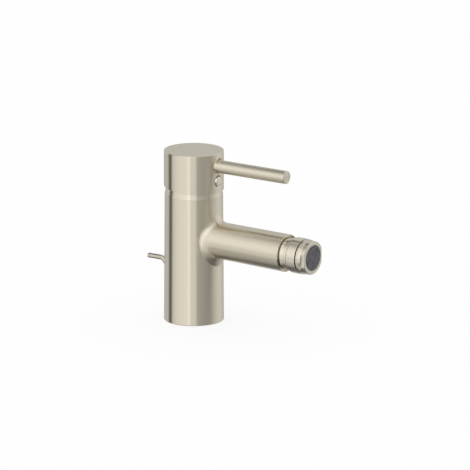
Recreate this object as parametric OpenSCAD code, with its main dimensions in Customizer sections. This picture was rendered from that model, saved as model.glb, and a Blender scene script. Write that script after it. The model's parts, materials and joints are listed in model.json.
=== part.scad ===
// Single-lever bidet mixer: round column, tilting cap with a pin lever,
// straight spout with a ball-jointed nozzle, and a bent lift rod at the back.
// Millimetres, +Z up. The origin is the centre of the base's underside.
// The spout and the lever point along -Y.

/* [Column] */
// Height of the column up to the seam of the collar
column_h = 103.3; // [100:0.1:112]
// Diameter of the column at its base
column_base_d = 48.1; // [46.6:0.1:52]
// Diameter of the column at the collar seam
column_top_d = 46.9; // [46.4:0.1:47.4]
// Radius of the hollow that is open at the base
hollow_r = 20; // [18.5:0.1:20.4]
// Distance from the spout's axis down to the hollow's ceiling
hollow_drop = 13.2; // [12:0.1:14]
// Chamfer along the column's lower edge
base_edge = 0.5; // [0.2:0.1:1]
// Radius of the fillet between the spout and the column
root_fillet = 6.2; // [1.5:0.1:6.6]

/* [Supply and fixing] */
// Radius of the two hose threads
hose_thread_r = 4.6; // [4:0.1:5.2]
// Depth of the hose threads
hose_thread_depth = 10; // [7:0.5:12]
// Sideways distance from the axis to a hose thread
hose_x = 8.5; // [7.5:0.1:9]
// Distance of the hose threads behind the axis
hose_y = 2; // [1:0.5:3]
// Radius of the water ways in the casting
way_r = 3.5; // [2.5:0.1:3.8]
// Radius of the two fixing-stud threads
stud_thread_r = 2.5; // [2:0.1:3.4]
// Depth of the fixing-stud threads
stud_thread_depth = 10; // [6:0.5:12]
// Sideways distance from the axis to a fixing stud
stud_x = 11; // [10:0.5:12]
// Distance of the fixing studs in front of the axis
stud_y = 9.5; // [8.5:0.5:11]
// Middle radius of the gasket under the base
gasket_r = 21.7; // [21.2:0.1:22.2]
// Width of the gasket under the base
gasket_w = 2; // [1.4:0.1:2.2]
// Height of the gasket under the base
gasket_h = 1.6; // [1:0.1:2.2]

/* [Collar] */
// How much the collar's radius shrinks from its seam to its shoulder
collar_draw = 0.5; // [0.3:0.05:0.7]
// Height of the collar's tapered band
collar_band_h = 3.6; // [3:0.1:4.4]
// Height of the collar over the column
collar_h = 7.2; // [6:0.1:7.6]

/* [Cap] */
// How far the cap stands proud of the column's top
cap_overhang = 0.55; // [0.4:0.05:0.8]
// Height of the cap's top over the seam
cap_rise = 36.4; // [35:0.1:45]
// Height of the cap's rim over the seam, at the column's axis
rim_rise = 4.9; // [4.6:0.1:6]
// Slant of the cap's rim, higher at the back
rim_slant = 4.1; // [3:0.1:5]
// Wall of the cap at its rim
rim_wall = 0.7; // [0.5:0.05:0.8]
// Wall of the cap above the rim
cap_wall = 2.5; // [1.5:0.1:2.8]
// Height over the seam at which the cap's wall thickens
thick_wall_rise = 9.7; // [9:0.1:12]
// Thickness of the cap's top
cap_top_t = 4; // [3:0.1:6]
// Rounding of the cap's upper edge
cap_edge = 0.5; // [0.2:0.1:1.2]
// Wall around the lever's stud inside the cap
stud_wall = 3; // [2:0.1:3.5]
// Wall around the index plug inside the cap
plug_wall = 0.8; // [0.5:0.1:1.2]
// Radius of the boss inside the cap
boss_r = 9; // [7.5:0.1:10]
// Height over the lever's pivot at which the boss ends
boss_rise = 11; // [10.5:0.1:14]

/* [Lever] */
// Height of the lever's axis over the seam
lever_rise = 26.1; // [25:0.1:27]
// Radius of the lever
lever_r = 5.3; // [4:0.1:5.8]
// Distance of the lever's end from the column's axis
lever_reach = 90.5; // [70:0.5:110]
// Chamfer at the lever's end
lever_edge = 0.6; // [0.3:0.1:1]
// How much the lever widens at its root
lever_flare = 1.2; // [0.6:0.1:1.3]
// Length over which the lever widens
lever_flare_l = 1.7; // [1:0.1:2.4]
// Depth of the flat in the cap that the lever stands on
lever_seat = 1.1; // [1:0.1:1.4]
// Radius of the lever's threaded stud
lever_stud_r = 3; // [2:0.1:3.5]
// Length of the stud on each side of the lever's root
lever_stud_l = 10; // [6:0.5:11]

/* [Index plug] */
// Height of the index plug's centre over the seam
plug_rise = 13.9; // [13.7:0.1:14.6]
// Radius of the index plug
plug_r = 4.1; // [3:0.1:4.4]
// Depth of the recess that holds the index plug
plug_depth = 3; // [2.5:0.1:3.4]
// Depth of the bevel around the index plug
plug_bevel = 0.9; // [0.7:0.1:1.2]
// How far the rim of the index plug stands out from the cap
plug_proud = 0.1; // [0:0.1:0.5]
// Height of the index plug's domed face
plug_dome = 0.7; // [0.3:0.1:1]
// Radius of the set screw
set_screw_r = 2.5; // [2:0.1:3]
// Length of the set screw
set_screw_l = 10; // [6:0.5:12]

/* [Spout] */
// Distance from the seam down to where the spout's axis meets the column's axis
spout_drop = 34.1; // [33.2:0.1:34.6]
// Fall of the spout, in degrees
spout_fall = 1.05; // [0:0.05:2]
// Radius of the spout at the column
spout_root_r = 14.6; // [13.6:0.1:14.8]
// Radius of the spout at its end
spout_end_r = 15.15; // [14.8:0.05:16]
// Length of the spout from the column's axis
spout_l = 91.6; // [88:0.1:110]
// Radius of the spout's water way inside the column
spout_bore_r = 5.5; // [4:0.1:6]
// Radius of the hollow inside the spout
spout_hollow_r = 10.5; // [8:0.1:11]
// Distance from the column's axis to the hollow in the spout
spout_hollow_from = 27; // [26:0.5:34]
// Wall of the spout around the recess at its end
spout_lip = 0.6; // [0.5:0.05:0.7]
// Depth of the recess at the spout's end
spout_recess = 1.8; // [0.5:0.1:2.2]
// Radius of the thread at the spout's end
nipple_thread_r = 12; // [11.9:0.05:12.4]
// Depth of the thread at the spout's end
nipple_thread_l = 8.6; // [8.4:0.1:10]

/* [Swivel nozzle] */
// Radius of the nozzle's ball
ball_r = 11.5; // [11.3:0.05:11.6]
// Distance from the spout's end to the ball's centre
ball_out = 8; // [7.8:0.1:8.2]
// Radius of the ball's neck
neck_r = 7.6; // [7:0.1:7.7]
// Radius of the water way through the ball
ball_bore_r = 5.6; // [4:0.1:6]
// Radius of the nipple beside the spout's end
nipple_r = 13; // [12.9:0.05:13.5]
// Distance from the nipple's shoulder back to its O-ring
nipple_oring_back = 1.3; // [1.1:0.1:2]
// Length of the nipple's narrow stretch
nipple_neck_l = 4.8; // [3:0.1:5.5]
// Radius of the nipple's bead
bead_r = 13.9; // [13.5:0.1:14.4]
// Length of the socket nut
nut_l = 7.5; // [7.3:0.1:7.8]
// Radius of the socket nut
nut_r = 14.1; // [13.9:0.1:14.6]
// Length of the thread between the nipple and the nut
nut_thread_l = 2; // [1.6:0.1:2.2]
// Radius of the thread between the nipple and the nut
nut_thread_r = 12.8; // [12.6:0.05:12.9]
// Number of fine grooves around the socket nut
nut_grooves = 3; // [0:1:4]
// Depth of the pocket behind the ball
seat_pocket_l = 2.2; // [2:0.1:2.4]
// How much smaller than the ball the ring is that it turns against
seat_inset = 2.1; // [2:0.1:2.4]
// Width of the ring that the ball turns against
seat_ring_w = 2.8; // [2:0.1:3]
// Length of the ring that the ball turns against
seat_ring_l = 5.2; // [4:0.1:5.4]
// How much smaller than the ball the socket's mouth is
ball_catch = 1.1; // [0.9:0.1:1.4]
// Largest tilt of the nozzle, in degrees
nozzle_tilt = 14; // [5:1:15]
// Radius of the aerator housing's rear band
head_r = 13.9; // [13.6:0.1:14.1]
// Radius of the aerator housing's front band
head_front_r = 13.2; // [12.8:0.1:13.4]
// Distance from the ball's centre to the front of the housing
head_out = 16.4; // [16:0.1:18]
// Length of the housing's front band
head_front_l = 5.2; // [4.6:0.1:5.4]
// Distance between the two wrench flats
flat_gap = 24.5; // [24:0.1:26]
// Length of the wrench flats
flat_l = 3.8; // [2:0.1:4.4]
// Radius of the aerator's pocket
aerator_r = 10.5; // [9.5:0.1:10.8]
// Depth of the aerator's pocket
aerator_depth = 2.3; // [2:0.1:2.5]
// Length of the aerator's spigot in the ball's neck
spigot_l = 4; // [3:0.1:5]
// Number of rings on the aerator's face
face_rings = 5; // [3:1:6]

/* [Cartridge] */
// Distance from the seam down to the chamber's floor
floor_drop = 26.3; // [25.5:0.1:26.6]
// Wall of the column around the cartridge's nut
seat_wall = 3.95; // [3.8:0.05:4.2]
// Wall of the cartridge's nut
nut_wall = 1.9; // [1.7:0.05:2.1]
// Wall of the cartridge's housing
housing_wall = 1; // [0.8:0.05:1]
// Thickness of the cartridge's base
base_t = 4; // [3:0.1:4.2]
// Thickness of each ceramic disc
disc_t = 3.9; // [3:0.1:4]
// Radius of the ports through the cartridge's base and fixed disc
port_r = 3; // [2.5:0.1:3.3]
// Wall of the seals around the ports
seal_w = 1.5; // [1.2:0.1:1.6]
// Height of the seals around the ports
seal_h = 1.6; // [1.2:0.1:2]
// Rim of the moving disc around its channel
disc_rim = 3; // [2:0.1:4]
// Gap between the fixed disc and the housing
fixed_disc_gap = 0.8; // [0.4:0.1:1.6]
// Height of the carrier over the moving disc
carrier_t = 6; // [5:0.1:6.2]
// Thickness of the turret's flange
turret_flange_t = 3.3; // [2.6:0.1:3.4]
// Width of the turret's flange around its neck
turret_flange_w = 5.6; // [5.3:0.1:6]
// Radius of the turret O-ring's section
turret_oring_w = 0.75; // [0.6:0.05:0.8]
// Distance from the seam down to the lever's pivot
pivot_drop = 0.3; // [0:0.1:0.5]
// Height of the turret's top over the pivot
turret_rise = 6; // [4:0.1:6.2]
// Radius of the pivot pin
pin_r = 1.5; // [1:0.05:2]
// Width of the stem
stem_w = 8.4; // [7:0.1:9]
// Depth of the stem
stem_d = 8; // [7:0.1:8.4]
// Length of the stem over the pivot
stem_l = 24.5; // [22:0.1:26]
// Length of the square stem under the pivot
stem_under = 4; // [3:0.1:4.5]
// Distance from the pivot down to the stem's ball
stem_drop = 9.5; // [9:0.1:9.8]
// Radius of the stem's ball
stem_ball_r = 2.6; // [2:0.1:2.8]
// Largest tilt of the lever, in degrees
lever_tilt = 20; // [10:1:20]
// Largest turn of the lever to either side, in degrees
lever_turn = 50; // [30:1:60]
// Width of the limit ring
limit_ring_w = 2; // [1.5:0.1:2.2]
// Radius of the pegs that stop the limit ring
limit_peg_r = 1.1; // [0.8:0.1:1.3]
// Thickness of the housing's top
housing_top_t = 2; // [1.6:0.1:2.4]
// Height of the limit ring
limit_ring_h = 2.3; // [1.8:0.1:2.6]
// Width of the limit ring's tab
limit_tab_w = 4; // [3:0.1:5]
// Depth of that thread below the collar seam
nut_seat_l = 7.8; // [7:0.1:8.4]
// Height of the nut over the collar seam
nut_rise = 4.7; // [4:0.1:6]

/* [Lift rod] */
// Radius of the lift rod
rod_r = 2; // [1.5:0.1:2.4]
// Height of the rod's level end
rod_z = 46.4; // [45.8:0.1:47]
// Distance of the rod's end behind the column's axis
rod_reach = 44.7; // [40:0.1:55]
// Where the rod starts to bend down
rod_bend_y = 32.5; // [31.5:0.1:34]
// Slope of the rod where it enters the column
rod_slope = 55; // [50:1:58]
// Radius of the upper bend
rod_upper_bend = 5; // [4:0.1:6]
// Radius of the lower bend
rod_lower_bend = 8; // [6:0.1:9]
// Distance of the rod's upright part behind the axis
rod_y = 13; // [12:0.1:14]
// Height of the rod's lower end
rod_foot_z = 1; // [0.5:0.1:4]
// Travel of the lift rod
rod_lift = 12; // [8:0.5:12]
// Height of the bush that guides the rod
bush_z = 12; // [9:0.5:12]
// Length of the bush
bush_l = 6; // [4:0.5:6.5]
// Wall of the bush
bush_wall = 1.5; // [1:0.1:2]

/* [Clearances] */
// Radial clearance of threads and pressed pieces
thread_gap = 0.1; // [0.05:0.01:0.15]
// Radial clearance of a running fit
run_gap = 0.06; // [0.04:0.01:0.09]
// Clearance between pieces that move past each other
slip_gap = 0.3; // [0.25:0.01:0.4]
// Clearance around the nozzle's ball
ball_gap = 0.2; // [0.15:0.01:0.25]
// How much rubber pieces give where they are pressed in
squeeze = 0.05; // [0.03:0.01:0.08]
// Water film between the two ceramic discs
film = 0.05; // [0.03:0.01:0.08]

/* [Hidden] */
$fn = 96;

// How far a cutter reaches past what it cuts
over = 0.5;
spout_z = column_h - spout_drop;
hollow_h = spout_z - hollow_drop;
floor_z = column_h - floor_drop;
pivot_z = column_h - pivot_drop;
rim_z = column_h + rim_rise;
cap_top_z = column_h + cap_rise;
lever_z = column_h + lever_rise;
plug_z = column_h + plug_rise;

column_base_r = column_base_d / 2;
column_top_r = column_top_d / 2;
cap_r = column_top_r + cap_overhang;

nut_seat_r = column_top_r - seat_wall;
cartridge_r = nut_seat_r - nut_wall - slip_gap;

// Heights in the cartridge, from the chamber's floor up
disc_z = floor_z + base_t;
moving_z = disc_z + disc_t + film;
carrier_z = moving_z + disc_t;
turret_z = carrier_z + carrier_t + slip_gap;
stem_ball_z = pivot_z - stem_drop;
// Room past the ends of the lever's stud
stud_play = 0.5;
housing_in_r = cartridge_r - housing_wall;
turret_oring_r = housing_in_r - turret_oring_w - slip_gap;
turret_oring_z = turret_z + turret_flange_t / 2;
turret_neck_r = housing_in_r - turret_flange_w;
fixed_disc_r = housing_in_r - fixed_disc_gap;
// The stem's ball drives the moving disc this far
disc_travel = stem_drop * sin(lever_tilt) + slip_gap / 2;
moving_disc_r = housing_in_r - slip_gap - disc_travel;
limit_tab_r = cartridge_r - 2 * housing_wall;
flange_top_z = turret_z + turret_flange_t;
housing_top_z = flange_top_z + slip_gap + housing_top_t;
seat_z = column_h - nut_seat_l;
nut_top_z = column_h + nut_rise;

// The shoulder is part of a sphere about the pivot, so that the tilting rim clears it
collar_top_r = column_top_r - collar_draw;
shoulder_z = column_h + collar_band_h;
shoulder_r = norm([collar_top_r, shoulder_z - pivot_z]);
rim_in_r = cap_r - rim_wall;
cap_in_r = cap_r - cap_wall;
thick_z = column_h + thick_wall_rise;
ceiling_z = cap_top_z - cap_top_t;
boss_z = pivot_z + boss_rise;

lever_seat_y = cap_r - lever_seat;
plug_floor_y = cap_r - plug_depth;

// Distances along the spout, from the column's axis
ball_s = spout_l + ball_out;
head_to = ball_s + head_out;
pocket_s = head_to - aerator_depth;
socket_r = ball_r + ball_gap;
cup_r = ball_r + slip_gap;
nipple_oring_w = 0.7;
nipple_oring_r = nipple_thread_r - thread_gap - nipple_oring_w;
nipple_seat_s = spout_l - spout_recess;
nipple_oring_s = nipple_seat_s - nipple_oring_back;
seat_r = ball_r - seat_inset;
seat_oring_w = 0.85;
seat_pocket_s = ball_s - cup_r - seat_pocket_l;
seat_ring_s = seat_pocket_s + 2 * (seat_oring_w + thread_gap);
// The mouth is a cone from the ball's centre, and the housing's boss is a narrower one
mouth_angle = asin((ball_r - ball_catch) / socket_r);
head_cone = mouth_angle - nozzle_tilt - 1.5;
// The housing's rear rim lies on a sphere that the nut's front edge doesn't reach
head_dish_r = nut_r / sin(mouth_angle) + slip_gap;

// The rod's path, from its level end back to its upright part
rod_slant_l = ((rod_bend_y - rod_upper_bend * sin(rod_slope))
    - (rod_y + rod_lower_bend * (1 - sin(rod_slope)))) / cos(rod_slope);
rod_bend_z = rod_z - rod_upper_bend * (1 - cos(rod_slope))
    - rod_slant_l * sin(rod_slope) - rod_lower_bend * cos(rod_slope);

// Radius of the tapered column at a height
function column_r(z) = column_base_r + (column_top_r - column_base_r) * z / column_h;
// Radius of the tapered spout at a distance
function spout_r(s) = spout_root_r + (spout_end_r - spout_root_r) * s / spout_l;
// Height of the slanted rod's centre at a distance behind the axis
function slant_z(y) = rod_z - rod_upper_bend * (1 - cos(rod_slope))
    - (rod_bend_y - rod_upper_bend * sin(rod_slope) - y) * tan(rod_slope);

// A round bar between two heights
module bar(r, from, to) {
    translate([0, 0, from]) cylinder(r = r, h = to - from);
}

// A ring between two heights
module tube(r_out, r_in, from, to) {
    difference() {
        bar(r_out, from, to);
        bar(r_in, from - over, to + over);
    }
}

// A ring of round section about the Z axis
module o_ring(middle_r, section_r, z) {
    translate([0, 0, z]) rotate_extrude() translate([middle_r, 0]) circle(r = section_r, $fn = 32);
}

// A bar with a chamfer at both ends
module chamfered_bar(r, from, to, edge) {
    rotate_extrude() polygon([
        [0, from], [r - edge, from], [r, from + edge],
        [r, to - edge], [r - edge, to], [0, to]
    ]);
}

// Puts the local Z axis along the spout
module along_spout() {
    translate([0, 0, spout_z]) rotate([90 + spout_fall, 0, 0]) children();
}

// Puts the local Z axis level and forwards, at a height
module forwards(z) {
    translate([0, 0, z]) rotate([90, 0, 0]) children();
}

// The fillet between spout and column, swept as a ball rolls round the joint.
// The rolling ball sits a little deep, so that the fillet's ends cross both surfaces.
module root_fillet_ring() {
    around = 48;
    arc_steps = 8;
    deep = 0.04;
    inner = 1.5;
    root_r = spout_r(spout_hollow_from) - deep;
    function wall_r(a) = column_r(spout_z + (root_r + root_fillet) * sin(a)) - deep;
    // Distance along the spout at which a point beside it meets a cylinder of radius r
    function meet(r, side_r, a) = (sqrt(r * r - pow(side_r * cos(a), 2))
        - side_r * sin(a) * sin(spout_fall)) / cos(spout_fall);
    function beside(side_r, s, a) = [
        side_r * cos(a),
        -s * cos(spout_fall) - side_r * sin(a) * sin(spout_fall),
        spout_z - s * sin(spout_fall) + side_r * sin(a) * cos(spout_fall)
    ];
    function section(a) =
        let (
            centre = beside(root_r + root_fillet, meet(wall_r(a) + root_fillet, root_r + root_fillet, a), a),
            to_spout = beside(root_r, meet(wall_r(a) + root_fillet, root_r + root_fillet, a), a) - centre,
            flat = norm([centre[0], centre[1]]),
            to_column = -root_fillet * [centre[0] / flat, centre[1] / flat, 0],
            turn = acos(to_spout * to_column / (norm(to_spout) * root_fillet))
        )
        concat(
            [for (i = [0:arc_steps]) let (t = i / arc_steps)
                centre + (sin((1 - t) * turn) * to_spout + sin(t * turn) * to_column) / sin(turn)],
            [beside(root_r - inner, meet(wall_r(a) - inner, root_r - inner, a), a)]
        );
    per = arc_steps + 2;
    points = [for (k = [0:around - 1]) each section(360 * k / around)];
    faces = [for (k = [0:around - 1], i = [0:per - 1])
        let (a = k * per, b = ((k + 1) % around) * per, j = (i + 1) % per)
        each [[a + i, a + j, b + i], [a + j, b + j, b + i]]];
    polyhedron(points, faces);
}

// Column and spout, one casting
module body() {
    color([0.80, 0.77, 0.69]) difference() {
        union() {
            rotate_extrude() polygon([
                [0, 0], [column_base_r - base_edge, 0],
                [column_r(base_edge), base_edge], [column_top_r, column_h], [0, column_h]
            ]);
            along_spout() spout_barrel();
            root_fillet_ring();
        }
        difference() {
            bar(hollow_r, -over, hollow_h);
            bush_block();
        }
        // Chamber and thread for the cartridge
        bar(cartridge_r + slip_gap, floor_z, column_h + over);
        bar(nut_seat_r, seat_z, column_h + over);
        water_ways();
        for (side = [-1, 1]) translate([side * stud_x, -stud_y, 0])
            bar(stud_thread_r, hollow_h - over, hollow_h + stud_thread_depth);
        tube(gasket_r + gasket_w / 2, gasket_r - gasket_w / 2, -over, gasket_h);
        rod_slot();
        translate([0, rod_y, 0]) bar(rod_r + run_gap + bush_wall, bush_z - over, bush_z + bush_l + over);
    }
}

module spout_barrel() {
    edge = 0.4;
    rotate_extrude() polygon([
        [0, 0], [spout_root_r, 0], [spout_r(spout_l - edge), spout_l - edge],
        [spout_end_r - edge, spout_l], [0, spout_l]
    ]);
}

// Hose threads, the ways up to the cartridge, and the way out through the spout
module water_ways() {
    for (side = [-1, 1]) translate([side * hose_x, hose_y, 0]) {
        bar(hose_thread_r, hollow_h - over, hollow_h + hose_thread_depth);
        bar(way_r, hollow_h, floor_z + over);
    }
    translate([0, -hose_x, 0]) bar(way_r, spout_z, floor_z + over);
    along_spout() {
        bar(spout_bore_r, hose_x - way_r - 1, spout_hollow_from + over);
        bar(spout_hollow_r, spout_hollow_from, spout_l - nipple_thread_l + over);
        bar(nipple_thread_r, spout_l - nipple_thread_l, spout_l + over);
        bar(spout_end_r - spout_lip, nipple_seat_s, spout_l + over);
    }
}

// Block at the back of the hollow that carries the rod's bush
module bush_block() {
    block_wall = 2.4;
    half_w = rod_r + run_gap + bush_wall + block_wall;
    translate([-half_w, rod_y - half_w, bush_z]) cube([2 * half_w, hollow_r, bush_l]);
}

// Upright slot in the column's back that the rod slides in
module rod_slot() {
    play = 0.5;
    half_w = rod_r + play;
    half_h = rod_r / cos(rod_slope) + play;
    from = rod_y + half_w;
    to = column_base_r + over;
    low = slant_z(hollow_r) - half_h + half_w;
    high = slant_z(column_base_r) + rod_lift + half_h - half_w;
    for (z = [low, high]) translate([0, 0, z]) rotate([-90, 0, 0]) bar(half_w, from, to);
    translate([-half_w, from, low]) cube([2 * half_w, to - from, high - low]);
}

module base_gasket() {
    color([0.13, 0.13, 0.14])
        tube(gasket_r + gasket_w / 2 - squeeze, gasket_r - gasket_w / 2 + squeeze, 0, gasket_h);
}

module rod_bush() {
    bore = rod_r + run_gap;
    flange = 1.2;
    color([0.92, 0.92, 0.90]) translate([0, rod_y, 0]) difference() {
        union() {
            bar(bore + bush_wall, bush_z, bush_z + bush_l);
            bar(bore + bush_wall + flange, bush_z - flange, bush_z);
        }
        bar(bore, bush_z - flange - over, bush_z + bush_l + over);
    }
}

// Tapered ring in the seam, screwed on the cartridge's nut
module collar_ring() {
    collar_top_z = column_h + collar_h;
    color([0.86, 0.83, 0.75]) difference() {
        union() {
            translate([0, 0, column_h])
                cylinder(r1 = column_top_r, r2 = collar_top_r, h = collar_band_h);
            intersection() {
                bar(collar_top_r, shoulder_z, collar_top_z);
                translate([0, 0, pivot_z]) sphere(r = shoulder_r);
            }
        }
        bar(nut_seat_r, column_h - over, collar_top_z + over);
    }
}

// Ring nut that clamps the cartridge
module cartridge_nut() {
    lip_t = 3;
    lip_in_r = cartridge_r - 1.2;
    spanner_slot = 4;
    color([0.78, 0.66, 0.38]) difference() {
        bar(nut_seat_r - thread_gap, seat_z + over, nut_top_z);
        bar(cartridge_r + slip_gap, seat_z, housing_top_z);
        bar(lip_in_r, housing_top_z - over, nut_top_z + over);
        for (a = [0, 90]) rotate([0, 0, a]) translate([-cap_r, -spanner_slot / 2, housing_top_z + lip_t])
            cube([2 * cap_r, spanner_slot, nut_top_z]);
    }
}

module cartridge_housing() {
    // The tab's side meets a peg at the end of the lever's turn
    peg_turn = lever_turn
        + asin((limit_tab_w / 2 + limit_peg_r + slip_gap) / (limit_tab_r - limit_peg_r));
    color([0.90, 0.90, 0.88]) {
        tube(cartridge_r, housing_in_r, disc_z, housing_top_z - housing_top_t);
        tube(cartridge_r, turret_neck_r + slip_gap, housing_top_z - housing_top_t, housing_top_z);
        // Stops for the limit ring's tab
        for (side = [-1, 1]) rotate([0, 0, 90 + side * peg_turn])
            translate([limit_tab_r - limit_peg_r, 0, 0])
                bar(limit_peg_r, housing_top_z - housing_top_t / 2, housing_top_z + limit_ring_h);
    }
}

// The cartridge's three ports: hot and cold in, mixed water out
module at_ports() {
    for (side = [-1, 1]) translate([side * hose_x, hose_y, 0]) children();
    translate([0, -hose_x, 0]) children();
}

module cartridge_base() {
    color([0.20, 0.35, 0.62]) difference() {
        bar(cartridge_r, floor_z, disc_z);
        at_ports() {
            bar(port_r, floor_z - over, disc_z + over);
            bar(way_r + seal_w, floor_z - over, floor_z + seal_h);
        }
    }
}

module port_seals() {
    color([0.13, 0.13, 0.14]) at_ports() tube(way_r + seal_w - squeeze, way_r, floor_z, floor_z + seal_h);
}

module fixed_disc() {
    color([0.95, 0.95, 0.93]) difference() {
        bar(fixed_disc_r, disc_z, disc_z + disc_t);
        at_ports() bar(port_r, disc_z - over, disc_z + disc_t + over);
    }
}

// Upper ceramic disc, with the mixing channel in its underside
module moving_disc() {
    channel_top_z = moving_z + disc_t / 2;
    color([0.88, 0.88, 0.86]) difference() {
        bar(moving_disc_r, moving_z, carrier_z);
        // At rest the channel ends before the two inlets
        hull() {
            translate([0, port_r - moving_disc_r + disc_rim, 0]) bar(port_r, moving_z - over, channel_top_z);
            translate([0, hose_y - port_r, 0]) bar(port_r, moving_z - over, channel_top_z);
        }
    }
}

module disc_carrier() {
    socket = stem_ball_r + 2 * slip_gap;
    color([0.85, 0.30, 0.25]) difference() {
        bar(moving_disc_r, carrier_z, carrier_z + carrier_t);
        bar(socket, stem_ball_z - stem_ball_r - slip_gap, carrier_z + carrier_t + over);
    }
}

module turret() {
    top_z = pivot_z + turret_rise;
    // The stem's lower end swings forwards as its upper end swings back
    front = slip_gap + max(stem_d / 2 * cos(lever_tilt) + stem_under * sin(lever_tilt),
        stem_drop * sin(lever_tilt) + stem_ball_r);
    back = slip_gap + stem_d / 2 / cos(lever_tilt) + turret_rise * tan(lever_tilt);
    side = stem_w / 2 + slip_gap;
    color([0.25, 0.25, 0.27]) difference() {
        union() {
            bar(housing_in_r - slip_gap, turret_z, flange_top_z);
            bar(turret_neck_r, flange_top_z, top_z);
        }
        // Opening that the stem tilts in
        translate([-side, -front, turret_z - over]) cube([2 * side, front + back, top_z]);
        translate([-turret_neck_r, 0, pivot_z]) rotate([0, 90, 0]) bar(pin_r, 0, 2 * turret_neck_r);
        tube(housing_in_r + over, turret_oring_r - turret_oring_w - thread_gap,
            turret_oring_z - turret_oring_w - squeeze, turret_oring_z + turret_oring_w + squeeze);
    }
}

module turret_oring() {
    color([0.13, 0.13, 0.14]) o_ring(turret_oring_r, turret_oring_w, turret_oring_z);
}

// Ring on the turret whose tab stops the turn
module limit_ring() {
    from = housing_top_z + slip_gap;
    color([0.78, 0.16, 0.14]) difference() {
        union() {
            bar(turret_neck_r + limit_ring_w, from, from + limit_ring_h);
            translate([-limit_tab_w / 2, turret_neck_r, from])
                cube([limit_tab_w, limit_tab_r - turret_neck_r, limit_ring_h]);
        }
        bar(turret_neck_r + thread_gap, from - over, from + limit_ring_h + over);
    }
}

module pivot_pin() {
    half_l = turret_neck_r - 0.5;
    color([0.70, 0.70, 0.72]) translate([0, 0, pivot_z]) rotate([0, 90, 0]) bar(pin_r, -half_l, half_l);
}

// Lever of the cartridge: a square bar over the pivot and a ball end under it
module stem() {
    color([0.72, 0.72, 0.74]) difference() {
        union() {
            translate([-stem_w / 2, -stem_d / 2, pivot_z - stem_under])
                cube([stem_w, stem_d, stem_l + stem_under]);
            bar(stem_ball_r - 0.6, stem_ball_z, pivot_z);
            translate([0, 0, stem_ball_z]) sphere(r = stem_ball_r);
        }
        translate([0, 0, pivot_z]) rotate([0, 90, 0]) bar(pin_r + run_gap, -stem_w, stem_w);
    }
}

// Cap of the handle, with the boss that the stem plugs into
module handle_cap() {
    socket_gap = 0.1;
    socket_w = stem_w + 2 * socket_gap;
    socket_d = stem_d + 2 * socket_gap;
    color([0.82, 0.79, 0.71]) difference() {
        union() {
            difference() {
                rotate_extrude() polygon(concat(
                    [[0, column_h], [cap_r, column_h], [cap_r, cap_top_z - cap_edge]],
                    [for (a = [30:30:60])
                        [cap_r - cap_edge * (1 - cos(a)), cap_top_z - cap_edge * (1 - sin(a))]],
                    [[cap_r - cap_edge, cap_top_z], [0, cap_top_z]]
                ));
                bar(rim_in_r, column_h - over, thick_z);
                bar(cap_in_r, thick_z - over, ceiling_z);
            }
            bar(boss_r, boss_z, ceiling_z + over);
            // Bridges to the wall for the lever's stud and the set screw
            forwards(lever_z) bar(lever_stud_r + stud_wall, 0, cap_in_r + over);
            forwards(plug_z) bar(plug_r + thread_gap + plug_wall, 0, cap_in_r + over);
        }
        // Slanted underside
        translate([0, 0, rim_z]) rotate([rim_slant, 0, 0])
            translate([-2 * cap_r, -2 * cap_r, -2 * cap_r]) cube([4 * cap_r, 4 * cap_r, 2 * cap_r]);
        translate([-socket_w / 2, -socket_d / 2, pivot_z]) cube([socket_w, socket_d, stem_l + over]);
        forwards(lever_z) {
            bar(lever_r + lever_flare + thread_gap, lever_seat_y, cap_r + over);
            bar(lever_stud_r, lever_seat_y - lever_stud_l - stud_play, cap_r);
        }
        forwards(plug_z) {
            bar(plug_r + thread_gap, plug_floor_y, cap_r + over);
            translate([0, 0, cap_r - plug_bevel]) cylinder(r1 = plug_r + thread_gap,
                r2 = plug_r + thread_gap + plug_bevel + over, h = plug_bevel + over);
            bar(set_screw_r, socket_d / 2 - over, cap_r);
        }
    }
}

module lever_pin() {
    flare_t = 0.4;
    flare_y = lever_seat_y + flare_t;
    color([0.82, 0.79, 0.71]) forwards(lever_z) difference() {
        rotate_extrude() polygon(concat(
            [[0, lever_seat_y], [lever_r + lever_flare, lever_seat_y]],
            [for (a = [0:22.5:90]) [lever_r + lever_flare * (1 - sin(a)),
                flare_y + (lever_flare_l - flare_t) * (1 - cos(a))]],
            [[lever_r, lever_reach - lever_edge], [lever_r - lever_edge, lever_reach], [0, lever_reach]]
        ));
        bar(lever_stud_r, lever_seat_y - over, lever_seat_y + lever_stud_l + stud_play);
    }
}

module lever_stud() {
    color([0.62, 0.62, 0.64]) forwards(lever_z)
        bar(lever_stud_r - thread_gap / 2, lever_seat_y - lever_stud_l, lever_seat_y + lever_stud_l);
}

// Set screw behind the index plug, against the stem
module set_screw() {
    from = stem_d / 2;
    socket_depth = 3;
    color([0.45, 0.45, 0.47]) forwards(plug_z) difference() {
        bar(set_screw_r - thread_gap / 2, from, from + set_screw_l);
        // Hexagon socket
        translate([0, 0, from + set_screw_l - socket_depth])
            cylinder(r = set_screw_r * 0.55, h = socket_depth + over, $fn = 6);
    }
}

module index_plug() {
    ball = (plug_r * plug_r + plug_dome * plug_dome) / (2 * plug_dome);
    rim_y = cap_r + plug_proud;
    color([0.84, 0.81, 0.74]) forwards(plug_z) {
        bar(plug_r, plug_floor_y, rim_y);
        intersection() {
            bar(plug_r, rim_y - 0.01, rim_y + plug_dome);
            translate([0, 0, rim_y + plug_dome - ball]) sphere(r = ball);
        }
    }
}

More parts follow.
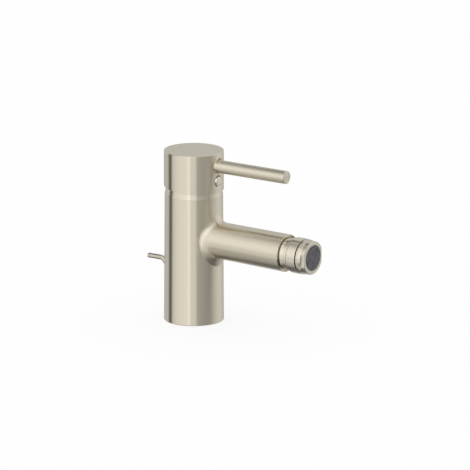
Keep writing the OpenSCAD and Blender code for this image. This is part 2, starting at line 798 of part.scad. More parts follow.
// Threaded piece in the spout's end that cups the rear half of the ball
module spout_nipple() {
    spigot_from = spout_l - nipple_thread_l + slip_gap;
    bead_from = spout_l + nipple_neck_l;
    edge = 0.3;
    color([0.82, 0.79, 0.71]) along_spout() difference() {
        union() {
            bar(nipple_thread_r - thread_gap, spigot_from, spout_l);
            bar(nipple_r, nipple_seat_s, bead_from);
            chamfered_bar(bead_r, bead_from, ball_s - thread_gap, edge);
            bar(nut_thread_r, bead_from, ball_s + nut_thread_l);
        }
        translate([0, 0, ball_s]) sphere(r = cup_r);
        bar(seat_r + thread_gap, seat_pocket_s, ball_s - cup_r / 2);
        bar(ball_bore_r, spigot_from - over, seat_pocket_s + over);
        tube(nipple_thread_r + over, nipple_oring_r - nipple_oring_w - squeeze,
            nipple_oring_s - nipple_oring_w - thread_gap, nipple_oring_s + nipple_oring_w + thread_gap);
    }
}

module nipple_oring() {
    color([0.13, 0.13, 0.14]) along_spout() o_ring(nipple_oring_r, nipple_oring_w, nipple_oring_s);
}

module seat_oring() {
    color([0.13, 0.13, 0.14]) along_spout()
        o_ring(seat_r - seat_ring_w / 2, seat_oring_w, seat_pocket_s + seat_oring_w + squeeze);
}

// Low-friction ring that the ball turns against
module ball_seat() {
    color([0.94, 0.94, 0.92]) along_spout() difference() {
        tube(seat_r, seat_r - seat_ring_w, seat_ring_s, seat_ring_s + seat_ring_l);
        translate([0, 0, ball_s]) sphere(r = socket_r);
    }
}

module socket_nut() {
    edge = 0.3;
    from = ball_s + 0.05;
    thread_to = ball_s + nut_thread_l + 0.1;
    groove = 0.25;
    mouth_reach = nut_l + 1;
    color([0.82, 0.79, 0.71]) along_spout() difference() {
        chamfered_bar(nut_r, from, ball_s + nut_l, edge);
        bar(nut_thread_r + thread_gap, from - over, thread_to);
        translate([0, 0, ball_s]) {
            sphere(r = socket_r);
            cylinder(r1 = 0, r2 = mouth_reach * tan(mouth_angle), h = mouth_reach);
        }
        for (i = [1:1:nut_grooves]) let (s = from + nut_l * i / (nut_grooves + 1))
            tube(nut_r + over, nut_r - groove, s - groove, s + groove);
    }
}

// Ball and hollow neck
module swivel_ball() {
    neck_to = pocket_s - ball_s - 0.1;
    color([0.25, 0.25, 0.27]) along_spout() translate([0, 0, ball_s]) difference() {
        union() {
            sphere(r = ball_r);
            bar(neck_r, 0, neck_to);
        }
        bar(ball_bore_r - 1.6, -ball_r - over, ball_r);
        bar(ball_bore_r, 2, neck_to + over);
    }
}

// Outer piece that turns with the ball, with two wrench flats
module aerator_housing() {
    dish_from = sqrt(head_dish_r * head_dish_r - head_r * head_r);
    boss_from = ball_r * cos(asin(neck_r / ball_r)) + slip_gap;
    band_to = head_out - head_front_l;
    rim = 0.5;
    color([0.82, 0.79, 0.71]) along_spout() translate([0, 0, ball_s]) difference() {
        union() {
            bar(head_r, dish_from - over, band_to);
            rotate_extrude() polygon([
                [0, band_to - 1], [head_front_r, band_to - 1], [head_front_r, head_out - rim],
                [head_front_r - rim, head_out], [0, head_out]
            ]);
        }
        difference() {
            sphere(r = head_dish_r);
            cylinder(r1 = 0, r2 = head_out * tan(head_cone), h = head_out);
        }
        bar(cup_r, 0, boss_from);
        bar(neck_r + thread_gap, 0, head_out);
        bar(aerator_r, head_out - aerator_depth, head_out + over);
        for (side = [-1, 1]) translate([side * (flat_gap / 2 + head_r), 0, head_out])
            cube([2 * head_r, 2 * head_r, 2 * flat_l], center = true);
    }
}

module aerator_gasket() {
    color([0.13, 0.13, 0.14]) along_spout()
        tube(aerator_r - 0.1, ball_bore_r + 0.4, pocket_s, pocket_s + 0.4);
}

// Cup that holds the screens and the face
module aerator_body() {
    from = pocket_s + 0.4;
    spigot_r = ball_bore_r - 2 * thread_gap;
    color([0.35, 0.35, 0.37]) along_spout() difference() {
        union() {
            bar(aerator_r - 0.1, from, head_to - 0.4);
            bar(spigot_r, from - spigot_l, from);
        }
        bar(aerator_r - 0.7, from + 0.4, head_to);
        bar(spigot_r - 0.8, from - spigot_l - over, from + 1);
    }
}

module aerator_screens() {
    screen_r = aerator_r - 0.75;
    from = pocket_s + 0.8;
    color([0.60, 0.60, 0.62]) along_spout() difference() {
        bar(screen_r, from, from + 0.3);
        for (ring = [1:3], k = [0:6 * ring - 1]) rotate([0, 0, 60 * k / ring])
            translate([ring * screen_r / 3.8, 0, from - over]) cylinder(r = screen_r / 10, h = 2);
    }
}

// Dark outlet with concentric rings on spokes
module aerator_face() {
    face_r = aerator_r - 0.75;
    pitch = face_r / (face_rings + 0.4);
    from = pocket_s + 1.15;
    to = head_to - 0.45;
    color([0.30, 0.30, 0.34]) along_spout() {
        for (i = [0:face_rings - 1]) tube(face_r - i * pitch, face_r - i * pitch - pitch * 0.6, from, to);
        bar(pitch * 0.6, from, to);
        difference() {
            for (a = [0:60:120]) rotate([0, 0, a])
                translate([-face_r + 0.2, -0.3, from]) cube([2 * face_r - 0.4, 0.6, (to - from) / 2]);
            bar(pitch * 0.3, from - over, to);
        }
    }
}

// Bent rod: upright in the hollow, slanting out through the slot, level at its end
module lift_rod() {
    edge = 0.4;
    level_l = rod_reach - rod_bend_y;
    color([0.84, 0.81, 0.73]) {
        translate([0, rod_y, 0]) bar(rod_r, rod_foot_z, rod_bend_z);
        bent_rod();
        translate([0, rod_bend_y, rod_z]) rotate([-90, 0, 0]) rotate_extrude() polygon([
            [0, 0], [rod_r, 0], [rod_r, level_l - edge], [rod_r - edge, level_l], [0, level_l]
        ]);
    }
}

// The rod's two bends and the slant between them, swept in the plane x = 0.
// Both ends sit a little thinner inside the straight parts.
module bent_rod() {
    sides = 28;
    steps = 7;
    inside = 1;
    thin = 0.02;
    lean = 90 - rod_slope;
    lower = [rod_y + rod_lower_bend, rod_bend_z];
    upper = [rod_bend_y, rod_z - rod_upper_bend];
    // Each station is [y, z, heading over the level, radius]
    stations = concat(
        [[rod_y, rod_bend_z - inside, 90, rod_r - thin], [rod_y, rod_bend_z, 90, rod_r - thin]],
        [for (i = [1:steps]) let (h = 90 - lean * i / steps)
            [lower[0] - rod_lower_bend * sin(h), lower[1] + rod_lower_bend * cos(h), h, rod_r]],
        [for (i = [0:steps - 1]) let (h = rod_slope * (1 - i / steps))
            [upper[0] - rod_upper_bend * sin(h), upper[1] + rod_upper_bend * cos(h), h, rod_r]],
        [[rod_bend_y, rod_z, 0, rod_r - thin], [rod_bend_y + inside, rod_z, 0, rod_r - thin]]
    );
    last = len(stations) - 1;
    points = [for (s = stations, k = [0:sides - 1]) let (a = 360 * k / sides)
        [s[3] * cos(a), s[0] - s[3] * sin(a) * sin(s[2]), s[1] + s[3] * sin(a) * cos(s[2])]];
    faces = concat(
        [for (i = [0:last - 1], k = [0:sides - 1])
            let (a = i * sides, b = a + sides, n = (k + 1) % sides)
            each [[a + k, a + n, b + k], [a + n, b + n, b + k]]],
        [[for (k = [sides - 1:-1:0]) k]],
        [[for (k = [0:sides - 1]) last * sides + k]]
    );
    polyhedron(points, faces);
}

body();
base_gasket();
rod_bush();
collar_ring();
cartridge_nut();
cartridge_housing();
cartridge_base();
port_seals();
fixed_disc();
spout_nipple();
nipple_oring();
seat_oring();
socket_nut();
turret();
turret_oring();
limit_ring();
pivot_pin();
moving_disc();
disc_carrier();
stem();
handle_cap();
lever_pin();
lever_stud();
set_screw();
index_plug();
ball_seat();
swivel_ball();
aerator_housing();
aerator_gasket();
aerator_body();
aerator_screens();
aerator_face();
lift_rod();
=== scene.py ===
import json
import math

import bmesh
import bpy
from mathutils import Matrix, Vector


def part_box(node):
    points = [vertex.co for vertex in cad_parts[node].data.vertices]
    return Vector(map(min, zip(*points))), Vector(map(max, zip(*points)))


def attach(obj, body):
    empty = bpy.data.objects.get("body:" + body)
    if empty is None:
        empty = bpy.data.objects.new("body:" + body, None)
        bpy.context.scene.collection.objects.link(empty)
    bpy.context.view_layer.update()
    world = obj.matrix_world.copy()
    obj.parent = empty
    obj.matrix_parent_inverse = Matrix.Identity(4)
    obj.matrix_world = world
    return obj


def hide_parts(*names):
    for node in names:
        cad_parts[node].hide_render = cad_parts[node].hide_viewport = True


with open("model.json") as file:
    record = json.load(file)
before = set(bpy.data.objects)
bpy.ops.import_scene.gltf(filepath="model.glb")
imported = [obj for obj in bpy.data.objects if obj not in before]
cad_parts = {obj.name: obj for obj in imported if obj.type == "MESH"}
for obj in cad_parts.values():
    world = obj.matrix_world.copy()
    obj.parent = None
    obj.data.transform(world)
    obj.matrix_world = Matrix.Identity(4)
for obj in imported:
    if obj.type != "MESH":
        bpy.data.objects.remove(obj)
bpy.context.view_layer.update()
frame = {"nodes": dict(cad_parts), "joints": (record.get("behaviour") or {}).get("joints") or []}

# Lengths are in millimetres, and MM turns them into Blender's metres
MM = 0.001

SIDEWAYS = Vector((1, 0, 0))
FORWARDS = Vector((0, -1, 0))
UPWARDS = Vector((0, 0, 1))


# Places that the frame gives

def box_of(node):
    """Lowest and highest corner of a CAD node, in millimetres."""
    low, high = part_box(node)
    return low / MM, high / MM


def joint_named(name):
    return next(joint for joint in frame["joints"] if joint["name"] == name)


collar_low, collar_high = box_of("collar_ring")
lever_low, lever_high = box_of("lever_pin")
stud_low, stud_high = box_of("lever_stud")
plug_low, plug_high = box_of("index_plug")
rod_high = box_of("lift_rod")[1]

COLUMN_TOP = collar_low.z
LEVER_Z = (lever_low.z + lever_high.z) / 2
PLUG_Z = (plug_low.z + plug_high.z) / 2
ROD_R = rod_high.x
ROD_Z = rod_high.z - ROD_R

# The nozzle turns round the spout's axis, and its joint sits at the ball's centre
nozzle_turn = joint_named("nozzle_turn")
BALL_CENTRE = Vector(nozzle_turn["pos_m"]) / MM
SPOUT_DIRECTION = Vector(nozzle_turn["axis"]).normalized()
SPOUT_Z = BALL_CENTRE.z - SPOUT_DIRECTION.z * BALL_CENTRE.y / SPOUT_DIRECTION.y

# Axes that surfaces are turned or brushed round: a point and a direction
COLUMN = (Vector((0, 0, 0)), UPWARDS)
SPOUT = (UPWARDS * SPOUT_Z, SPOUT_DIRECTION)
NOZZLE = (BALL_CENTRE, SPOUT_DIRECTION)
LEVER = (UPWARDS * LEVER_Z, FORWARDS)
PLUG = (UPWARDS * PLUG_Z, FORWARDS)
ROD = (UPWARDS * ROD_Z, FORWARDS)


# The photograph's camera: direction, distance, and the point at the picture's centre

CAMERA_AZIMUTH = math.radians(-55.04)
CAMERA_ELEVATION = math.radians(14.09)
CAMERA_DISTANCE = 8000
CAMERA_TARGET = Vector((0, -40.18, 75.11))
CAMERA_LENS = 766.6


def add_camera():
    azimuth, elevation = CAMERA_AZIMUTH, CAMERA_ELEVATION
    back = Vector((
        math.sin(azimuth) * math.cos(elevation),
        -math.cos(azimuth) * math.cos(elevation),
        math.sin(elevation),
    ))
    camera = bpy.data.objects.new("camera", bpy.data.cameras.new("camera"))
    camera.data.lens = CAMERA_LENS
    camera.data.sensor_width = 36
    camera.data.clip_start = 1
    camera.data.clip_end = 50
    camera.location = (CAMERA_TARGET + back * CAMERA_DISTANCE) * MM
    camera.rotation_mode = "QUATERNION"
    camera.rotation_quaternion = (-back).to_track_quat("-Z", "Y")
    bpy.context.scene.collection.objects.link(camera)
    bpy.context.scene.camera = camera


# Shader nodes

def feed(tree, socket, value):
    """Links a socket to value, or sets it to value."""
    if isinstance(value, bpy.types.NodeSocket):
        tree.links.new(value, socket)
    else:
        socket.default_value = value


def add_node(tree, kind, inputs=None, **settings):
    made = tree.nodes.new(kind)
    for name, value in settings.items():
        setattr(made, name, value)
    for key, value in (inputs or {}).items():
        feed(tree, made.inputs[key], value)
    return made


def maths(tree, operation, *values):
    made = add_node(tree, "ShaderNodeMath", dict(enumerate(values)), operation=operation)
    return made.outputs[0]


def vectors(tree, operation, first, second=None, scale=None, output="Vector"):
    inputs = {0: first}
    if second is not None:
        inputs[1] = second
    if scale is not None:
        inputs["Scale"] = scale
    made = add_node(tree, "ShaderNodeVectorMath", inputs, operation=operation)
    return made.outputs[output]


def along_axis(tree, vector, direction):
    """How far a vector reaches in a direction."""
    return vectors(tree, "DOT_PRODUCT", vector, tuple(direction), output="Value")


def noise(tree, vector, scale, detail=2.0, roughness=0.5):
    made = add_node(
        tree, "ShaderNodeTexNoise",
        {"Vector": vector, "Scale": scale, "Detail": detail, "Roughness": roughness},
    )
    return made.outputs["Fac"]


def spread(tree, value, low=0.0, high=1.0, start=0.0, end=1.0, curve="LINEAR"):
    """Maps start to end on to low to high."""
    made = add_node(
        tree, "ShaderNodeMapRange",
        {"Value": value, "From Min": start, "From Max": end, "To Min": low, "To Max": high},
        interpolation_type=curve,
    )
    return made.outputs["Result"]


def swing(tree, value, middle, share):
    """Maps 0 to 1 on to a stretch round middle that reaches a share of it below and above."""
    return spread(tree, value, middle * (1 - share), middle * (1 + share))


def mix(tree, kind, factor, first, second):
    made = add_node(tree, "ShaderNodeMix", data_type=kind)
    inputs = [socket for socket in made.inputs if socket.enabled]
    for socket, value in zip(inputs, (factor, first, second)):
        feed(tree, socket, value)
    return [socket for socket in made.outputs if socket.enabled][0]


def place_in(tree):
    """Where the shaded point is, in the object's own coordinates."""
    return add_node(tree, "ShaderNodeTexCoord").outputs["Object"]


def to_world(tree, vector):
    made = add_node(
        tree, "ShaderNodeVectorTransform", {"Vector": vector},
        vector_type="VECTOR", convert_from="OBJECT", convert_to="WORLD",
    )
    return made.outputs["Vector"]


def new_material(name):
    material = bpy.data.materials.new(name)
    material.use_nodes = True
    tree = material.node_tree
    return material, tree, tree.nodes["Principled BSDF"]


# Materials

# Lines that brushing leaves: how many a millimetre, and how often they change on the way round
FINE_LINES = 6.0
FINE_CHANGES = 3.0
BROAD_LINES = 0.7
BROAD_CHANGES = 1.2
FINE_SHARE = 0.65

# Where the lines round the column give way to those round the spout, forwards of the column's axis
SPOUT_LINES_FROM = 22.5
SPOUT_LINES_TO = 26

# How much the lines and the faint clouds change the colour and the roughness
LINE_TONE = 0.04
CLOUD_TONE = 0.01
CLOUD_ROUGH = 0.01
ROUGH_SHARE = 0.15
CLOUD_SCALE = 55.0
MOTTLE_SCALE = 120.0
GRIT_SCALE = 900.0

# Strength of the lines' bump, and the depth of lines and grit
LINE_BUMP = 0.08
LINE_DEPTH = 0.02
GRIT_DEPTH = 0.03

# How far up the cap's surface faces, from 0 to 1, where its brushed side gives way to its ground top
SIDE_FACING = 0.3
TOP_FACING = 0.8


class Turned:
    """Shader coordinates of a surface that was turned or brushed round an axis."""

    def __init__(self, tree, point, direction):
        offset = vectors(tree, "SUBTRACT", place_in(tree), tuple(point * MM))
        along = along_axis(tree, offset, direction)
        axial = vectors(tree, "SCALE", tuple(direction), scale=along)
        radial = vectors(tree, "SUBTRACT", offset, axial)
        distance = vectors(tree, "LENGTH", radial, output="Value")
        self.outwards = vectors(tree, "NORMALIZE", radial)
        self.tangent = vectors(tree, "CROSS_PRODUCT", tuple(direction), self.outwards)
        # Along a turned surface this grows steadily, on its sides and on its ends alike
        self.travel = maths(tree, "ADD", along, distance)
        self.direction = direction

    def grain(self, tree, lines, changes):
        """A vector whose noise runs in lines round the axis."""
        across = vectors(
            tree, "SCALE", tuple(self.direction),
            scale=maths(tree, "MULTIPLY", self.travel, lines / MM),
        )
        around = vectors(tree, "SCALE", self.outwards, scale=changes)
        return vectors(tree, "ADD", across, around)


def brushed_round(tree, turned_axes):
    """Vectors for fine and broad lines, and the tangent, round one axis or two that meet."""
    rounds = [Turned(tree, point, direction) for point, direction in turned_axes]
    fine = [turning.grain(tree, FINE_LINES, FINE_CHANGES) for turning in rounds]
    broad = [turning.grain(tree, BROAD_LINES, BROAD_CHANGES) for turning in rounds]
    tangents = [turning.tangent for turning in rounds]
    if len(rounds) == 1:
        return fine[0], broad[0], tangents[0]
    forwards = along_axis(tree, place_in(tree), FORWARDS)
    part = spread(tree, forwards, start=SPOUT_LINES_FROM * MM, end=SPOUT_LINES_TO * MM)
    return [mix(tree, "VECTOR", part, *pair) for pair in (fine, broad, tangents)]


def brushed_metal(name, colour, roughness, turned_axes, anisotropic=1.0, flat_top=False):
    """Metal brushed round one axis, or round two that meet (the column's and the spout's)."""
    material, tree, shader = new_material(name)
    fine, broad, tangent = brushed_round(tree, turned_axes)
    hair = noise(tree, fine, 1.0, detail=3.0, roughness=0.6)
    streak = noise(tree, broad, 1.0)
    cloud = noise(tree, place_in(tree), CLOUD_SCALE, detail=3.0)
    grain = maths(
        tree, "ADD",
        maths(tree, "MULTIPLY", hair, FINE_SHARE),
        maths(tree, "MULTIPLY", streak, 1 - FINE_SHARE),
    )
    tone = maths(tree, "MULTIPLY", swing(tree, grain, 1.0, LINE_TONE), swing(tree, cloud, 1.0, CLOUD_TONE))
    feed(tree, shader.inputs["Base Color"], vectors(tree, "SCALE", tuple(colour), scale=tone))
    shader.inputs["Metallic"].default_value = 1.0
    rough = maths(
        tree, "ADD",
        swing(tree, grain, roughness, ROUGH_SHARE),
        spread(tree, cloud, -CLOUD_ROUGH, CLOUD_ROUGH),
    )
    feed(tree, shader.inputs["Roughness"], rough)
    if flat_top:
        # The cap's top is ground evenly, and only its side is brushed round
        facing = add_node(tree, "ShaderNodeTexCoord").outputs["Normal"]
        upwards = add_node(tree, "ShaderNodeSeparateXYZ", {"Vector": facing}).outputs["Z"]
        anisotropic = spread(tree, upwards, anisotropic, 0.0, start=SIDE_FACING, end=TOP_FACING)
    feed(tree, shader.inputs["Anisotropic"], anisotropic)
    # A quarter turn: the reflections spread across the brushed lines, along the axis
    shader.inputs["Anisotropic Rotation"].default_value = 0.25
    feed(tree, shader.inputs["Tangent"], to_world(tree, tangent))
    bump = add_node(
        tree, "ShaderNodeBump",
        {"Strength": LINE_BUMP, "Distance": LINE_DEPTH * MM, "Height": hair},
    )
    feed(tree, shader.inputs["Normal"], bump.outputs["Normal"])
    return material


def plain(name, colour, roughness, metallic=0.0, mottle=0.05, grit_bump=0.15):
    """Moulded, cast or ground surface with a faint mottle and a fine texture."""
    material, tree, shader = new_material(name)
    place = place_in(tree)
    cloud = noise(tree, place, MOTTLE_SCALE, detail=4.0)
    grit = noise(tree, place, GRIT_SCALE)
    tone = swing(tree, cloud, 1.0, mottle)
    feed(tree, shader.inputs["Base Color"], vectors(tree, "SCALE", tuple(colour), scale=tone))
    feed(tree, shader.inputs["Roughness"], swing(tree, grit, roughness, ROUGH_SHARE))
    shader.inputs["Metallic"].default_value = metallic
    bump = add_node(
        tree, "ShaderNodeBump",
        {"Strength": grit_bump, "Distance": GRIT_DEPTH * MM, "Height": grit},
    )
    feed(tree, shader.inputs["Normal"], bump.outputs["Normal"])
    return material


NICKEL = (0.76, 0.70, 0.57)
POLISHED = (0.78, 0.72, 0.60)

MATERIALS = {
    "column": brushed_metal("column", NICKEL, 0.26, [COLUMN, SPOUT]),
    "cap": brushed_metal("cap", NICKEL, 0.26, [COLUMN], flat_top=True),
    "lever": brushed_metal("lever", (0.72, 0.66, 0.54), 0.21, [LEVER]),
    "plug": brushed_metal("plug", POLISHED, 0.16, [PLUG], anisotropic=0.5),
    "nozzle": brushed_metal("nozzle", POLISHED, 0.20, [SPOUT], anisotropic=0.8),
    # The head's nickel is painted darker than the nozzle's: painted shade for its darker reflections
    "head": brushed_metal("head", (0.69, 0.64, 0.53), 0.22, [SPOUT], anisotropic=0.8),
    "rod": brushed_metal("rod", (0.60, 0.55, 0.46), 0.22, [ROD], anisotropic=0.6),
    "brass": plain("brass", (0.72, 0.58, 0.30), 0.32, metallic=1.0),
    "steel": plain("steel", (0.60, 0.60, 0.62), 0.34, metallic=1.0),
    # The screens' steel is painted dark: painted shade for the shadow behind the gaps in the aerator's face
    "screen_steel_painted_shade": plain("screen_steel_painted_shade", (0.20, 0.20, 0.21), 0.42, metallic=1.0),
    "black_rubber": plain("black_rubber", (0.035, 0.035, 0.037), 0.65, grit_bump=0.3),
    "white_plastic": plain("white_plastic", (0.80, 0.80, 0.78), 0.42),
    "grey_plastic": plain("grey_plastic", (0.16, 0.16, 0.18), 0.45),
    "blue_plastic": plain("blue_plastic", (0.10, 0.22, 0.46), 0.42),
    "red_plastic": plain("red_plastic", (0.58, 0.08, 0.07), 0.42),
    "ceramic": plain("ceramic", (0.88, 0.88, 0.86), 0.12, mottle=0.02),
    "dark_face": plain("dark_face", (0.125, 0.120, 0.135), 0.50),
}

NODE_MATERIALS = {
    "column": ["body"],
    "cap": ["collar_ring", "handle_cap"],
    "lever": ["lever_pin"],
    "plug": ["index_plug"],
    "nozzle": ["spout_nipple", "socket_nut"],
    "head": ["aerator_housing"],
    "rod": ["lift_rod"],
    "brass": ["cartridge_nut"],
    "steel": ["pivot_pin", "stem", "lever_stud", "set_screw"],
    "black_rubber": [
        "base_gasket", "port_seals", "nipple_oring", "seat_oring", "turret_oring", "aerator_gasket",
    ],
    "white_plastic": ["rod_bush", "cartridge_housing", "ball_seat"],
    "grey_plastic": ["turret", "swivel_ball"],
    "screen_steel_painted_shade": ["aerator_screens"],
    "blue_plastic": ["cartridge_base"],
    "red_plastic": ["limit_ring", "disc_carrier"],
    "ceramic": ["fixed_disc", "moving_disc"],
    "dark_face": ["aerator_body", "aerator_face"],
}


def dress_nodes():
    for material, nodes in NODE_MATERIALS.items():
        for node in nodes:
            piece = frame["nodes"][node]
            piece.data.materials.clear()
            piece.data.materials.append(MATERIALS[material])


# Turned pieces: outlines of corners (distance from the axis, distance along it, rounding)

# Common roundings
CRISP = 0.05
EASED = 0.1
SMOOTH = 0.2
SOFT = 0.3
ROUND = 0.5

ROUND_STEPS = 4
# The most of an edge that a rounding takes
EDGE_SHARE = 0.45
# How far beside a rounding the rings lie that keep the shading of plain stretches even
SUPPORT = 0.12
# Angle from which an edge is shaded sharp
SHARP = math.radians(40)


def rounded(corners):
    """Points of a closed outline, with each corner rounded."""
    points = []
    for index, (radius, along, rounding) in enumerate(corners):
        here = Vector((radius, along))
        before = Vector(corners[index - 1][:2]) - here
        after = Vector(corners[(index + 1) % len(corners)][:2]) - here
        if radius == 0 or rounding == 0:
            points.append(here)
            continue
        half = before.angle(after) / 2
        reach = min(rounding / math.tan(half), EDGE_SHARE * min(before.length, after.length))
        to_before, to_after = before.normalized(), after.normalized()
        centre = here + (to_before + to_after).normalized() * (reach / math.cos(half))
        first, last = here + to_before * reach - centre, here + to_after * reach - centre
        if before.length > 2 * (reach + SUPPORT):
            points.append(here + to_before * (reach + SUPPORT))
        size = first.length
        first, last = first.normalized(), last.normalized()
        points += [centre + first.slerp(last, step / ROUND_STEPS) * size for step in range(ROUND_STEPS + 1)]
        if after.length > 2 * (reach + SUPPORT):
            points.append(here + to_after * (reach + SUPPORT))
    return points


def round_axis(direction, turn):
    """Unit vector square to an axis, turn radians round it from the object's right."""
    return SIDEWAYS * math.cos(turn) + direction.cross(SIDEWAYS) * math.sin(turn)


def lathe(corners, turned_axis, segments, carve=None):
    """Points and faces of an outline turned round an axis.

    Where it's given, carve(radius, turn, along) is the distance from the axis instead of radius.
    """
    origin, direction = turned_axis
    turns = [math.tau * step / segments for step in range(segments)]
    points, rings = [], []
    for radius, along in rounded(corners):
        centre = origin + direction * along
        count = 1 if radius == 0 else segments
        rings.append(range(len(points), len(points) + count))
        for turn in turns[:count]:
            reach = carve(radius, turn, along) if carve else radius
            points.append((centre + round_axis(direction, turn) * reach) * MM)
    faces = []
    for ring, following in zip(rings, rings[1:] + rings[:1]):
        if len(ring) == 1 and len(following) == 1:
            continue
        for step in range(segments):
            corner_ids = [
                ring[step % len(ring)], ring[(step + 1) % len(ring)],
                following[(step + 1) % len(following)], following[step % len(following)],
            ]
            faces.append(tuple(dict.fromkeys(corner_ids)))
    return points, faces


def add_mesh(name, points, faces, material):
    mesh = bpy.data.meshes.new(name)
    mesh.from_pydata(points, [], faces)
    shape = bmesh.new()
    shape.from_mesh(mesh)
    bmesh.ops.recalc_face_normals(shape, faces=shape.faces)
    shape.to_mesh(mesh)
    shape.free()
    mesh.shade_smooth()
    mesh.set_sharp_from_angle(angle=SHARP)
    mesh.materials.append(MATERIALS[material])
    piece = bpy.data.objects.new(name, mesh)
    bpy.context.scene.collection.objects.link(piece)
    return piece


def add_piece(name, points, faces, body, node, material):
    """A piece on a body that replaces a CAD node."""
    piece = add_mesh(name, points, faces, material)
    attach(piece, body)
    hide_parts(node)


def turned(name, corners, turned_axis, body, node, material, segments=160, carve=None):
    """A piece turned round an axis from an outline, which replaces a CAD node."""
    points, faces = lathe(corners, turned_axis, segments, carve)
    add_piece(name, points, faces, body, node, material)


# Collar: heights are over the column's top

COLLAR_R = collar_high.x
COLLAR_BEVEL = 0.12
# Radius and height of the band in sight, which tapers in a hardly bowed line
COLLAR_BAND = [(COLLAR_R, COLLAR_BEVEL), (23.17, 1.86), (22.88, 3.6)]
COLLAR_BORE_R = 19.5
COLLAR_TOP_R = 22.04
# The shoulder is part of a ball whose centre lies a little under the column's top
SHOULDER_R = 23.28
SHOULDER_DROP = 0.3
SHOULDER_RISES = (4.8, 5.7, 6.6)


def add_collar():
    top = collar_high.z
    band = [(radius, COLUMN_TOP + height, 0) for radius, height in COLLAR_BAND]
    shoulder = [
        (math.sqrt(SHOULDER_R ** 2 - rise ** 2), COLUMN_TOP - SHOULDER_DROP + rise, 0)
        for rise in SHOULDER_RISES
    ]
    inside = [
        (COLLAR_TOP_R, top, SMOOTH), (COLLAR_BORE_R, top, SMOOTH),
        (COLLAR_BORE_R, COLUMN_TOP, EASED), (COLLAR_R - COLLAR_BEVEL, COLUMN_TOP, 0),
    ]
    turned("collar_fine", band + shoulder + inside,
           COLUMN, "root", "collar_ring", "cap", segments=192)


# Root: the fillet where the spout leaves the column

COLUMN_BASE_R = 24.05
SPOUT_R = 14.6
# Growth of the spout's radius for each millimetre away from the column
SPOUT_FLARE = 0.006
# The ball that rolls in the fillet is looked for up to here, by halving the stretch
SEARCH_TO = 60
HALVINGS = 30

# The fillet's radius, and how much more it is below the spout
ROOT_R = 6.2
ROOT_MORE_BELOW = 0.7
ROOT_TURNS = 192
ROOT_ARC = 20
# How far the fillet goes from its arc to its chord: not at all on top, and this share at the sides and
# below. The change starts where the sine of the turn is FULL_FROM, and takes FULL_OVER of it.
ROOT_FULL = 0.5
FULL_FROM = 0.75
FULL_OVER = 0.9
# How far the skin stands proud at its edges, how much more in its middle, and how deep it goes
SKIN_EDGE = 0.015
SKIN_LIFT = 0.085
SKIN_DEPTH = 0.3


def touching_ball(outwards, size):
    """Centre of a ball that touches the column and the spout, on the spout's side that faces outwards."""
    near, far = 0, SEARCH_TO
    for _ in range(HALVINGS):
        along = (near + far) / 2
        spout_r = SPOUT_R + SPOUT_FLARE * along
        centre = UPWARDS * SPOUT_Z + SPOUT_DIRECTION * along + outwards * (spout_r + size)
        column_r = COLUMN_BASE_R + (COLLAR_R - COLUMN_BASE_R) * centre.z / COLUMN_TOP
        if centre.xy.length > column_r + size:
            far = along
        else:
            near = along
    return centre


def root_section(turn):
    """Points round the skin's section at one turn: over the fillet, then back under its surface."""
    outwards = round_axis(SPOUT_DIRECTION, turn)
    # Round on top; fuller and with crisper edges at the sides and below
    full = ROOT_FULL * min(1, max(0, (FULL_FROM - math.sin(turn)) / FULL_OVER))
    size = ROOT_R + ROOT_MORE_BELOW * max(0, -math.sin(turn))
    ball = touching_ball(outwards, size)
    to_column = -Vector((ball.x, ball.y, 0)).normalized()
    half = to_column.angle(-outwards) / 2
    over, under = [], []
    for index in range(ROOT_ARC + 1):
        part = index / ROOT_ARC
        facing = to_column.slerp(-outwards, part)
        chord = math.cos(half) / math.cos(half * (2 * part - 1))
        lift = SKIN_EDGE + SKIN_LIFT * math.sin(math.pi * part)
        over.append(ball + facing * (size * (1 - full + full * chord) - lift))
        under.append(ball + facing * (size + SKIN_DEPTH))
    return over + under[::-1]


def add_root():
    """The body's own fillet where the spout leaves the column, drawn finer: a thin skin on it."""
    sections = [root_section(math.tau * step / ROOT_TURNS) for step in range(ROOT_TURNS)]
    points = [point * MM for section in sections for point in section]
    across = len(sections[0])
    faces = []
    for step in range(ROOT_TURNS):
        here, there = step * across, (step + 1) % ROOT_TURNS * across
        for index in range(across):
            following = (index + 1) % across
            faces.append((here + index, here + following, there + following, there + index))
    skin = add_mesh("root_fine", points, faces, "column")
    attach(skin, "root")


# Nozzle: places are along the spout from the ball's centre

ARC_STEPS = 8

# Nipple: spigot with its seal, neck, bead, fine groove and rim, then the thread under the nut
NIPPLE_FROM = -16.3
NIPPLE_TO = 2
SPIGOT_R = 11.9
SEAL_FROM = -11.9
SEAL_TO = -10.3
SEAL_R = 10.45
NECK_FROM = -9.8
NECK_FROM_R = 13.1
TAPER_FROM = -8
TAPER_TO = -5.4
NECK_R = 12.8
BEAD_FROM = -3.2
BEAD_SLOPE = 0.25
BEAD_R = 13.6
GROOVE_FROM = -1.3
GROOVE_R = 13.1
RIM_FROM = -0.7
RIM_R = 14.1
THREAD_R = 12.8
# Inside it: the cup behind the ball, the seat's pocket and the waterway
CUP_R = 11.8
CUP_FROM = -7
SEAT_FROM = -14
SEAT_R = 9.5
WATER_R = 5.6

NUT_FROM = 0.05
NUT_TO = 7.7
NUT_R = 14.35
NUT_GAP = 0.1
NUT_THREAD_R = 12.9
NUT_LINES = 5
NUT_LINE_DEPTH = 0.12
NUT_LINE_FLOOR = 0.03
# The nut's mouth opens as a cone in front of the band that holds the ball
NUT_LIP = 0.1
MOUTH_R = 13.8
BAND_R = 11.7
BAND_FROM = 2.1
BAND_TO = 5.36

# Housing: a rear band, a soft waist, and the head with its flats
HOUSING_FROM = 8.9
HOUSING_BORE_R = 7.75
HOUSING_NECK_R = 9.3
